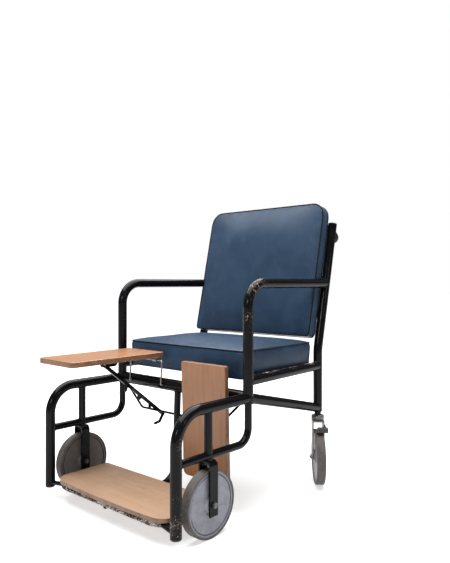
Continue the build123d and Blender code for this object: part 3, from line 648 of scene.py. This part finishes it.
@dataclass
class Pad:
    """A box cushion: vinyl over foam, piped round the seams of its face panel."""

    name: str
    node: str
    width: float
    depth: float
    thickness: float
    corner: float
    place: Matrix
    crown: float
    side_swell: float
    taper: float
    finish: bpy.types.Material
    piping: bpy.types.Material
    voxel: float = 5 * MM
    piping_radius: float = 2.3 * MM
    edge_round: float = 5 * MM
    foot_round: float = 3 * MM
    seam_inset: float = 1.5 * MM
    least_corner: float = 2 * MM
    piping_inset: float = 0.8 * MM
    piping_hold: float = 0.85
    piping_steps: int = 14
    piping_runs: int = 60
    # How far from the top seam the vinyl's painted shade reaches.
    seam_shade_width: float = 13 * MM
    pucker_middle: float = 14 * MM
    slack: float = 1.6 * MM
    slack_start: float = 20 * MM
    slack_cells: float = 9.0
    pucker: float = 0.9 * MM
    pucker_cells: float = 42.0
    pressure: float = 4.0
    blow_up_frames: int = 20
    relax_passes: int = 2
    relax_share: float = 0.35
    body: str = "frame"
    back_seam: bool = False
    rods: tuple[tuple[Vector, Vector, float], ...] = ()
    foot_corner: float = 0.0

    def outline(self, inset: float, steps: int = 10, runs: int = 24) -> list[tuple[float, float]]:
        """Points round the pad's plan, with round corners and divided straight runs.

        Args:
            inset: How far inside the full plan, in metres.
            steps: Points in each corner.
            runs: Points in each straight run.

        Returns:
            Plan points in order.
        """
        half_w, half_d = self.width / 2 - inset, self.depth / 2 - inset
        high = max(self.corner - inset, self.least_corner)
        low = max((self.foot_corner or self.corner) - inset, self.least_corner)
        points: list[tuple[float, float]] = []
        corners = [(half_w, half_d, 0), (-half_w, half_d, 1),
                   (-half_w, -half_d, 2), (half_w, -half_d, 3)]
        for x, y, quarter in corners:
            radius = high if y > 0 else low
            cx, cy = x - radius * (1 if x > 0 else -1), y - radius * (1 if y > 0 else -1)
            for step in range(steps + 1):
                angle = (quarter + step / steps) * pi / 2
                points.append((cx + radius * cos(angle), cy + radius * sin(angle)))
            nx, ny, _ = corners[(quarter + 1) % 4]
            radius = high if ny > 0 else low
            ncx, ncy = nx - radius * (1 if nx > 0 else -1), ny - radius * (1 if ny > 0 else -1)
            turn = (quarter + 1) * pi / 2
            end = (ncx + radius * cos(turn), ncy + radius * sin(turn))
            start = points[-1]
            for step in range(1, runs):
                share = step / runs
                points.append((start[0] + (end[0] - start[0]) * share,
                               start[1] + (end[1] - start[1]) * share))
        return points

    def blank(self) -> bpy.types.Object:
        """Rounded slab that the pad is blown up from, in the pad's own place."""
        mesh = bmesh.new()
        drawn_in = 1 - self.taper
        plan = self.outline(self.seam_inset)
        low = [mesh.verts.new((x * drawn_in, y * drawn_in, 0.0)) for x, y in plan]
        face = mesh.faces.new(low)
        raised = bmesh.ops.extrude_face_region(mesh, geom=[face])
        top = [item for item in raised["geom"] if isinstance(item, bmesh.types.BMVert)]
        bmesh.ops.translate(mesh, verts=top, vec=(0, 0, self.thickness))
        bmesh.ops.scale(mesh, verts=top, vec=(1 / drawn_in, 1 / drawn_in, 1.0))
        for height, offset in ((self.thickness, self.edge_round), (0.0, self.foot_round)):
            rims = [edge for edge in mesh.edges
                    if all(abs(vertex.co.z - height) < SAME_PLACE for vertex in edge.verts)]
            bmesh.ops.bevel(mesh, geom=rims, offset=offset, offset_type="OFFSET", segments=4,
                            profile=0.5, affect="EDGES", material=-1, clamp_overlap=True)
        bmesh.ops.triangulate(mesh, faces=[f for f in mesh.faces if len(f.verts) > 4])
        piece = to_object(mesh, self.name)
        remesh = piece.modifiers.new("even mesh", "REMESH")
        remesh.mode = "VOXEL"
        remesh.voxel_size = self.voxel
        bake_modifiers(piece)
        return piece

    def swell(self, piece: bpy.types.Object) -> None:
        """Blow the slab up like a stuffed cover, held at its seams.

        Args:
            piece: Even slab, changed in place.
        """
        plan = self.outline(self.seam_inset)
        seams = [Vector((x, y, self.thickness)) for x, y in plan]
        seams += [Vector((x * (1 - self.taper), y * (1 - self.taper), 0.0)) for x, y in plan]
        tree = kd_of(seams)
        group = piece.vertex_groups.new(name="seams")
        for vertex in piece.data.vertices:
            nearest = tree.find(vertex.co)[2]
            share = max(0.0, min(1.0, 1.0 - (nearest - self.voxel) / (2.0 * self.voxel)))
            if share > 0:
                group.add([vertex.index], share, "REPLACE")
        rest = [vertex.co.copy() for vertex in piece.data.vertices]
        cloth = piece.modifiers.new("cover", "CLOTH")
        cloth.settings.use_pressure = True
        cloth.settings.uniform_pressure_force = self.pressure
        cloth.settings.effector_weights.gravity = 0.0
        cloth.settings.vertex_group_mass = "seams"
        cloth.settings.quality = 4
        scene = bpy.context.scene
        for step in range(1, self.blow_up_frames + 1):
            scene.frame_set(step)
        bake_modifiers(piece)
        moved = [vertex.co - old for vertex, old in zip(piece.data.vertices, rest)]
        lift = max(move.z for move in moved) or 1.0
        swell = max(max(abs(move.x), abs(move.y)) for move in moved) or 1.0
        up, out = self.crown / lift, self.side_swell / swell
        for vertex, old, move in zip(piece.data.vertices, rest, moved):
            rise = move.z * up if move.z > 0 else 0.0
            vertex.co = old + Vector((move.x * min(out, 1.0), move.y * min(out, 1.0), rise))
        scene.frame_set(1)

    def crease(self, piece: bpy.types.Object) -> None:
        """Add the slack and puckers of a sewn cover, and store how near each point lies to the top
        seam, for painted shade there.

        Args:
            piece: Swollen pad, changed in place.
        """
        tree = kd_of([Vector((x, y, self.thickness)) for x, y in self.outline(self.seam_inset)])
        # at_seam holds the strength of the vinyl's painted shade near the top seam.
        shade = piece.data.attributes.new("at_seam", "FLOAT", "POINT")
        for vertex in piece.data.vertices:
            near = tree.find(vertex.co)[2]
            shade.data[vertex.index].value = max(0.0, 1.0 - near / self.seam_shade_width) ** 1.5
            if vertex.co.z < self.foot_round:
                continue
            pull = max(0.0, 1.0 - abs(near - self.pucker_middle) / self.pucker_middle)
            soft = noise.noise(vertex.co * self.slack_cells) * self.slack
            pucker = noise.noise(vertex.co * self.pucker_cells) * self.pucker * pull
            vertex.co += vertex.normal * (soft * min(1.0, near / self.slack_start) + pucker)

    def press(self, piece: bpy.types.Object) -> None:
        """Let the tubes beside the pad dent its cover.

        Args:
            piece: Pad in its final place, changed in place.
        """
        for vertex in piece.data.vertices:
            for start, end, radius in self.rods:
                run = end - start
                share = max(0.0, min(1.0, (vertex.co - start).dot(run) / run.length_squared))
                away = vertex.co - (start + run * share)
                if away.length < radius:
                    vertex.co += away.normalized() * (radius - away.length)

    def pipe(self, cover: BVHTree, height: float, label: str, shrink: float) -> bpy.types.Object:
        """Piping round the pad at one seam, laid on the cover.

        Args:
            cover: The pad's surface.
            height: Height of the seam above the pad's base, in metres.
            label: Word for the piece's name.
            shrink: Share that the plan is drawn in at that height.

        Returns:
            The piping.
        """
        line = []
        for x, y in self.outline(self.piping_inset, self.piping_steps, self.piping_runs):
            spot = Vector((x * (1 - shrink), y * (1 - shrink), height))
            found = cover.find_nearest(spot)[0]
            line.append(self.place @ spot.lerp(found, self.piping_hold))
        piece = wire_to_mesh(line, self.piping_radius, f"{self.name}_{label}", closed=True)
        paint(piece, self.piping)
        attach(piece, self.body)
        report(piece)
        return piece

    def build(self) -> list[bpy.types.Object]:
        """Make the pad and its piping.

        Returns:
            The pad and the piping round it.
        """
        pad = self.blank()
        self.swell(pad)
        self.crease(pad)
        for _ in range(self.relax_passes):
            relax(pad, self.relax_share)
        settle(pad, 0.0)
        cover = BVHTree.FromPolygons([v.co.copy() for v in pad.data.vertices],
                                     [tuple(p.vertices) for p in pad.data.polygons])
        pipes = [self.pipe(cover, self.thickness, "piping", 0.0)]
        if self.back_seam:
            pipes.append(self.pipe(cover, self.foot_round, "rear_piping", self.taper))
        pad.data.transform(self.place)
        self.press(pad)
        refine = pad.modifiers.new("fine", "SUBSURF")
        refine.levels = 1
        refine.render_levels = 1
        paint(pad, self.finish)
        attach(pad, self.body)
        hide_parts(self.node)
        report(pad)
        return [pad, *pipes]


def kd_of(points: Sequence[Vector]) -> KDTree:
    """Search tree over points.

    Args:
        points: Points to search.

    Returns:
        A balanced tree.
    """
    tree = KDTree(len(points))
    for index, point in enumerate(points):
        tree.insert(point, index)
    tree.balance()
    return tree


def bake_modifiers(piece: bpy.types.Object) -> None:
    """Apply every modifier of a piece to its mesh.

    Args:
        piece: Object to flatten.
    """
    bpy.context.view_layer.update()
    depsgraph = bpy.context.evaluated_depsgraph_get()
    data = bpy.data.meshes.new_from_object(piece.evaluated_get(depsgraph))
    piece.modifiers.clear()
    old = piece.data
    piece.data = data
    bpy.data.meshes.remove(old)


def relax(piece: bpy.types.Object, amount: float) -> None:
    """Smooth a piece's mesh a little.

    Args:
        piece: Object to smooth.
        amount: Share of the way to the neighbours' middle.
    """
    mesh = bmesh.new()
    mesh.from_mesh(piece.data)
    bmesh.ops.smooth_vert(mesh, verts=mesh.verts, factor=amount, use_axis_x=True, use_axis_y=True,
                          use_axis_z=True)
    mesh.to_mesh(piece.data)
    mesh.free()


def settle(piece: bpy.types.Object, floor: float) -> None:
    """Flatten what hangs below the board that the pad rests on.

    Args:
        piece: Pad in its own place.
        floor: Height of the board's face.
    """
    for vertex in piece.data.vertices:
        vertex.co.z = max(vertex.co.z, floor)


@dataclass
class Upholstery:
    """Seat and back cushions, each in the space of its frame node."""

    finish: bpy.types.Material
    piping: bpy.types.Material
    seat_width: float = 562 * MM
    seat_thickness: float = 94 * MM
    back_width: float = 554 * MM
    back_length: float = 501 * MM
    back_thickness: float = 43 * MM
    back_foot: Vector = field(default_factory=lambda: Vector((0.0, 407.4 * MM + POST_Y, 509 * MM)))
    tube_reach: float = 16.6 * MM
    seat_air: float = 3 * MM
    upright_span: tuple[float, float] = (300.0, 560.0)

    def rods(self, front: Vector, rear: Vector) -> tuple[tuple[Vector, Vector, float], ...]:
        """A tube at the pad's left side and its twin at the right.

        Args:
            front: One end of the left tube, in the arm posts' frame and millimetres.
            rear: Its other end.

        Returns:
            Start, end and radius of both tubes, in metres.
        """
        pairs = []
        for side in (1, -1):
            start, end = (Vector((side * point.x * MM, point.y * MM + POST_Y, point.z * MM))
                          for point in (front, rear))
            pairs.append((start, end, self.tube_reach))
        return tuple(pairs)

    def seat(self) -> Pad:
        """Seat pad, whose sides hang over the seat rails."""
        low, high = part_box("seat_cushion")
        middle = (low + high) / 2
        rails = self.rods(AXES.at_post(AXES.seat_rail_z), AXES.at_upright(AXES.seat_rail_z))
        uprights = self.rods(*(AXES.at_upright(height) for height in self.upright_span))
        return Pad(name="seat_pad", node="seat_cushion", width=self.seat_width,
                   depth=high.y - low.y - self.seat_air, thickness=self.seat_thickness,
                   corner=29 * MM, place=Matrix.Translation((middle.x, middle.y, low.z)),
                   crown=15 * MM, side_swell=7 * MM, taper=0.018, finish=self.finish,
                   piping=self.piping, edge_round=20 * MM, rods=rails + uprights)

    def back(self) -> Pad:
        """Back pad, leant like the uprights and pinched between the arms."""
        lean = Matrix.Rotation(-AXES.rake, 4, "X")
        upward = Vector((0.0, sin(AXES.rake), cos(AXES.rake)))
        centre = self.back_foot + upward * (self.back_length / 2)
        stand = lean @ Matrix.Rotation(pi / 2, 4, "X")
        arm_end = Vector((AXES.upright_x, AXES.arm_end_y, AXES.arm_z))
        return Pad(name="back_pad", node="back_cushion", width=self.back_width,
                   depth=self.back_length, thickness=self.back_thickness, corner=52 * MM,
                   place=Matrix.Translation(centre) @ stand, crown=16 * MM, side_swell=3 * MM,
                   taper=0.0, finish=self.finish, piping=self.piping, back_seam=True,
                   foot_corner=16 * MM, rods=self.rods(AXES.at_post(AXES.arm_z), arm_end))

    def build(self) -> None:
        """Make both cushions."""
        for pad in (self.seat(), self.back()):
            pad.build()


@dataclass
class Welds:
    """Beads of weld where one tube of the frame ends on another."""

    finish: bpy.types.Material
    tube: float = 16.0
    crossbar: float = 20.0
    thin_tube: float = 11.5
    wheel_post: float = 12.5
    wheel_post_foot: float = 10.9
    bead: float = 1.9
    bead_share: float = 0.85
    bead_unevenness: float = 0.35
    bead_cells: float = 240.0
    steps: int = 40

    def saddle(self, name: str, branch: tuple[Vector, Vector, float],
               host: tuple[Vector, float]) -> None:
        """One bead round a tube's end, mirrored to the right where the tube isn't central.

        Args:
            name: Name of the bead.
            branch: The ending tube: a point on the host's axis, its direction from there, its radius.
            host: Direction and radius of the tube that it ends on.
        """
        foot, away, radius = branch[0], branch[1].normalized(), branch[2]
        axis, host_radius = host[0].normalized(), host[1]
        first = (axis - away * axis.dot(away)).normalized()
        second = away.cross(first)
        line, wobble = [], []
        for step in range(self.steps):
            angle = 2 * pi * step / self.steps
            ring = first * (radius * cos(angle)) + second * (radius * sin(angle))
            flat = ring - axis * ring.dot(axis)
            lean = away - axis * away.dot(axis)
            inner = flat.dot(lean) ** 2 - lean.dot(lean) * (flat.dot(flat) - host_radius ** 2)
            run = (sqrt(max(inner, 0.0)) - flat.dot(lean)) / lean.dot(lean)
            line.append((foot + ring + away * run) * MM + Vector((0.0, POST_Y, 0.0)))
            ripple = noise.noise(line[-1] * self.bead_cells)
            wobble.append(self.bead_share + self.bead_unevenness * ripple)
        sides = (("left", 1), ("right", -1)) if abs(foot.x) > 1 else (("middle", 1),)
        for label, side in sides:
            points = [Vector((point.x * side, point.y, point.z)) for point in line]
            piece = wire_to_mesh(points, self.bead * MM, f"{label}_{name}_weld", True, wobble)
            paint(piece, self.finish)
            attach(piece, "frame")
            report(piece)

    def build(self) -> None:
        """Make every bead of the frame."""
        up, back, along = Vector((0, 0, 1)), Vector((0, 1, 0)), Vector((1, 0, 0))
        leant = Vector((0, sin(AXES.rake), cos(AXES.rake)))
        inward = AXES.upright_x - AXES.post_x
        rail = Vector((inward, AXES.upright_y, 0))
        lower = Vector((inward, AXES.upright_y, AXES.lower_rail_end_z - AXES.junction_z))
        arm = Vector((inward, AXES.arm_end_y, 0))
        post = AXES.at_post(AXES.junction_z)
        loop_end = Vector((AXES.post_x, AXES.leg_y, AXES.loop_z))
        wheel_top = Vector((AXES.post_x, AXES.wheel_post_y, AXES.junction_z))
        wheel_foot = Vector((AXES.post_x, AXES.wheel_post_y, AXES.loop_z))
        rail_end, lower_end = AXES.at_upright(AXES.seat_rail_z), AXES.at_upright(AXES.lower_rail_end_z)
        arm_end = Vector((AXES.upright_x, AXES.arm_end_y, AXES.arm_z))
        bar_end = Vector((AXES.upright_x, AXES.push_bar_y, AXES.push_bar_z))
        bar_run = Vector((0, 41, -31))
        centre = Vector((0, AXES.centre_post_y, AXES.junction_z))
        centre_run = Vector((0, -12.5, -311))
        on_upright, on_leant = (up, self.tube), (leant, self.tube)
        on_leg, on_loop = (back, self.tube), (back, self.thin_tube)
        beads = (
            ("leg_to_post", (post, -back, self.tube), on_upright),
            ("crossbar_to_post", (post, -along, self.tube), on_upright),
            ("seat_rail_to_post", (AXES.at_post(AXES.seat_rail_z), rail, self.tube), on_upright),
            ("seat_rail_to_upright", (rail_end, -rail, self.tube), on_upright),
            ("lower_rail_to_post", (post, lower, self.tube), on_upright),
            ("lower_rail_to_upright", (lower_end, -lower, self.tube), on_upright),
            ("arm_to_upright", (arm_end, -arm, self.tube), on_leant),
            ("loop_to_leg", (loop_end, back, self.thin_tube), on_upright),
            ("wheel_post_to_leg", (wheel_top, -up, self.wheel_post), on_leg),
            ("wheel_post_to_loop", (wheel_foot, up, self.wheel_post_foot), on_loop),
            ("fork_to_loop", (wheel_foot, -up, self.wheel_post_foot), on_loop),
            ("post_to_crossbar", (centre, centre_run, self.thin_tube), (along, self.crossbar)),
            ("push_bar_to_upright", (bar_end, bar_run, self.wheel_post), on_leant),
        )
        for name, branch, host in beads:
            self.saddle(name, branch, host)


@dataclass
class Frame:
    """Welded tube frame: the frame nodes keep their shape and take their finishes."""

    plain: tuple[str, ...] = (
        "right_front_loop", "right_arm_tube", "left_back_upright", "right_back_upright",
        "left_lower_loop", "right_lower_loop", "wheel_posts", "lower_rails", "push_bar",
        "front_crossbar", "centre_post", "footboard_stubs", "seat_straps", "back_straps",
        "front_forks", "caster_stems", "catch_bar", "ratchet_strut", "left_strut_bracket",
        "right_strut_bracket")
    plugs: tuple[str, ...] = ("foot_plugs", "upright_plugs", "left_brake_pedal", "right_brake_pedal")

    def dress(self) -> None:
        """Paint the frame nodes."""
        enamel = Enamel("black_enamel").build()
        for node in self.plain:
            paint_node(node, enamel)
        paint_node("left_arm_tube", Enamel("enamel_worn_at_arm", Region.ARM_BEND).build())
        paint_node("left_front_loop", Enamel("enamel_worn_at_foot", Region.LEG_FOOT).build())
        paint_node("footboard_rail", Enamel("enamel_worn_on_rail", Region.FOOT_RAIL).build())
        paint_node("seat_rails", Enamel("enamel_worn_on_seat_rail", Region.SEAT_RAIL).build())
        Welds(enamel).build()
        plug = Moulded("black_plug", (0.012, 0.012, 0.012), (0.05, 0.045, 0.04), 0.5).build()
        for node in self.plugs:
            paint_node(node, plug)


@dataclass
class Boards:
    """Leg boards, footboard and the panels behind the cushions."""

    def dress(self) -> None:
        """Paint the wooden nodes."""
        raised = Beech("beech_raised", Grain.ALONG_Y, varnish=0.8)
        # Painted shade: the hanging left board is a darker copy of the raised board's beech, for the
        # shade on its face.
        hanging = Beech("beech_hanging_shaded", Grain.ALONG_Z, pale=(0.255, 0.112, 0.044),
                        dark=(0.168, 0.064, 0.023), face_axis="Y")
        trodden = Beech("beech_footboard", Grain.ALONG_X, pale=(0.34, 0.218, 0.140),
                        dark=(0.28, 0.166, 0.098), edge_share=0.95, scuff=0.045, varnish=0.35)
        paint_node("right_leg_board", raised.build())
        paint_node("left_leg_board", hanging.build())
        paint_node("footboard", trodden.build())
        ply = Plywood("plywood").build()
        for node in ("seat_board", "back_board"):
            paint_node(node, ply)


@dataclass
class Fittings:
    """Hinges, screws, axles and casters."""

    bright: tuple[str, ...] = ("hinge_wires", "left_hinge_clips", "right_hinge_clips",
                               "panel_screws", "strut_pin", "left_caster_axle", "right_caster_axle")
    dull: tuple[str, ...] = ("caster_cups", "left_caster_fork", "right_caster_fork")
    grimy: tuple[str, ...] = ("front_axle_bolts", "front_axle_nuts")

    def dress(self) -> None:
        """Paint the metal fittings."""
        bright = BareSteel("bright_steel", (0.25, 0.245, 0.24), (0.09, 0.08, 0.07), 0.28, 0.6)
        dull = BareSteel("dull_zinc", (0.18, 0.175, 0.17), (0.065, 0.058, 0.052), 0.38, 0.8)
        grimy = BareSteel("grimy_steel", (0.13, 0.125, 0.12), (0.045, 0.04, 0.035), 0.34, 0.8)
        for finish, nodes in ((bright, self.bright), (dull, self.dull), (grimy, self.grimy)):
            metal = finish.build()
            for node in nodes:
                paint_node(node, metal)


@dataclass
class Wheels:
    """Four wheels: tyres, moulded discs and bushes."""

    names: tuple[str, ...] = ("left_front", "right_front", "left_caster", "right_caster")

    def dress(self) -> None:
        """Paint the wheels' nodes."""
        rubber = Rubber("tyre_rubber").build()
        disc = Moulded("grey_disc", (0.205, 0.208, 0.248), (0.12, 0.118, 0.13), 0.42).build()
        # Painted shade: the right front wheel's disc is a darker copy of the grey disc, for the shadow
        # on its inner face.
        dust_and_shade = Moulded("shaded_disc", (0.085, 0.076, 0.074), (0.05, 0.044, 0.042), 0.55).build()
        bush = BareSteel("oiled_steel", (0.30, 0.29, 0.28), (0.12, 0.10, 0.09), 0.4, 0.6).build()
        for name in self.names:
            paint_node(name + "_tyre", rubber)
            paint_node(name + "_core", dust_and_shade if name == "right_front" else disc)
            paint_node(name + "_bush", bush)


@dataclass(frozen=True)
class Lamp:
    """Square soft lamp: its place and side in metres, its power in watts."""

    name: str
    place: tuple[float, float, float]
    side: float
    power: float


@dataclass
class Studio:
    """Floor, lights and the camera at the photographed angle."""

    lamps: tuple[Lamp, ...] = (Lamp("top_light", (-0.3, 0.1, 3.0), 4.0, 390.0),
                               Lamp("front_light", (0.9, -3.2, 1.9), 0.5, 22.0),
                               Lamp("side_light", (3.0, -0.2, 1.4), 0.4, 4.0))
    aim: Vector = field(default_factory=lambda: Vector((0.0, 0.0, 0.5)))
    lens_mm: float = 36.53
    eye: Vector = field(default_factory=lambda: Vector((1.38645, -1.34148 + POST_Y, 0.708)))
    heading: float = radians(41.33)
    horizon_shift: float = 0.0031
    sensor_mm: float = 36.0
    sky_strength: float = 0.20
    paper_reach: float = 30.0
    paper_grey: float = 0.50
    glow_start: float = 0.6
    glow_end: float = 1.6
    glow_near: float = 0.58
    glow_far: float = 1.0

    def floor(self) -> None:
        """White paper floor that the chair stands on, which fades into the white background."""
        mesh = bmesh.new()
        bmesh.ops.create_grid(mesh, x_segments=8, y_segments=8, size=self.paper_reach)
        piece = to_object(mesh, "floor", smooth=False)
        bench = Bench("white_paper")
        bench.set(Base_Color=(self.paper_grey,) * 3, Roughness=0.9, Specular_IOR_Level=0.1,
                  Emission_Color=WHITE)
        reach = bench.add("ShaderNodeVectorMath", operation="LENGTH")
        bench.feed(reach.inputs[0], bench.place)
        glow = bench.span(reach.outputs["Value"], self.glow_start, self.glow_end,
                          self.glow_near, self.glow_far)
        bench.set(Emission_Strength=glow)
        paint(piece, bench.material)
        report(piece)

    def light(self, lamp: Lamp) -> None:
        """Add one lamp, aimed at the chair's middle.

        Args:
            lamp: The lamp's place, side and power.
        """
        bulb = bpy.data.lights.new(lamp.name, "AREA")
        bulb.size = lamp.side
        bulb.energy = lamp.power
        holder = bpy.data.objects.new(lamp.name, bulb)
        place = Vector(lamp.place)
        holder.location = place
        holder.rotation_euler = (self.aim - place).to_track_quat("-Z", "Y").to_euler()
        bpy.context.scene.collection.objects.link(holder)

    def sky(self) -> None:
        """White background that lights the chair only softly."""
        world = bpy.data.worlds.new("studio")
        world.use_nodes = True
        tree = world.node_tree
        tree.nodes.clear()
        seen, soft = (tree.nodes.new("ShaderNodeBackground") for _ in range(2))
        for shader, strength in ((seen, 1.0), (soft, self.sky_strength)):
            shader.inputs["Color"].default_value = (*WHITE, 1.0)
            shader.inputs["Strength"].default_value = strength
        ray = tree.nodes.new("ShaderNodeLightPath")
        mix = tree.nodes.new("ShaderNodeMixShader")
        out = tree.nodes.new("ShaderNodeOutputWorld")
        tree.links.new(ray.outputs["Is Camera Ray"], mix.inputs["Fac"])
        tree.links.new(soft.outputs[0], mix.inputs[1])
        tree.links.new(seen.outputs[0], mix.inputs[2])
        tree.links.new(mix.outputs[0], out.inputs["Surface"])
        bpy.context.scene.world = world

    def build(self) -> None:
        """Set the floor, the lamps, the sky and the camera."""
        self.floor()
        for lamp in self.lamps:
            self.light(lamp)
        self.sky()
        bpy.context.scene.view_settings.view_transform = "Standard"
        lens = bpy.data.cameras.new("view")
        lens.lens = self.lens_mm
        lens.sensor_width = self.sensor_mm
        lens.shift_y = self.horizon_shift
        camera = bpy.data.objects.new("view", lens)
        camera.location = self.eye
        camera.rotation_euler = (pi / 2, 0.0, self.heading)
        bpy.context.scene.collection.objects.link(camera)
        bpy.context.scene.camera = camera


def main() -> None:
    """Build every piece in order."""
    logging.basicConfig(level=logging.INFO)
    Studio().build()
    Frame().dress()
    Boards().dress()
    Fittings().dress()
    Wheels().dress()
    vinyl = Vinyl("navy_vinyl")
    # The piping cord is real, but its vinyl is a much darker copy of the cover's: painted shade for
    # the shadow line along the seams.
    piping = Vinyl("navy_piping_shaded", deep=(0.0018, 0.0045, 0.010), faded=(0.004, 0.009, 0.017),
                   worn=(0.008, 0.016, 0.028), gloss=0.06)
    Upholstery(vinyl.build(), piping.build()).build()


if __name__ == "__main__":
    main()
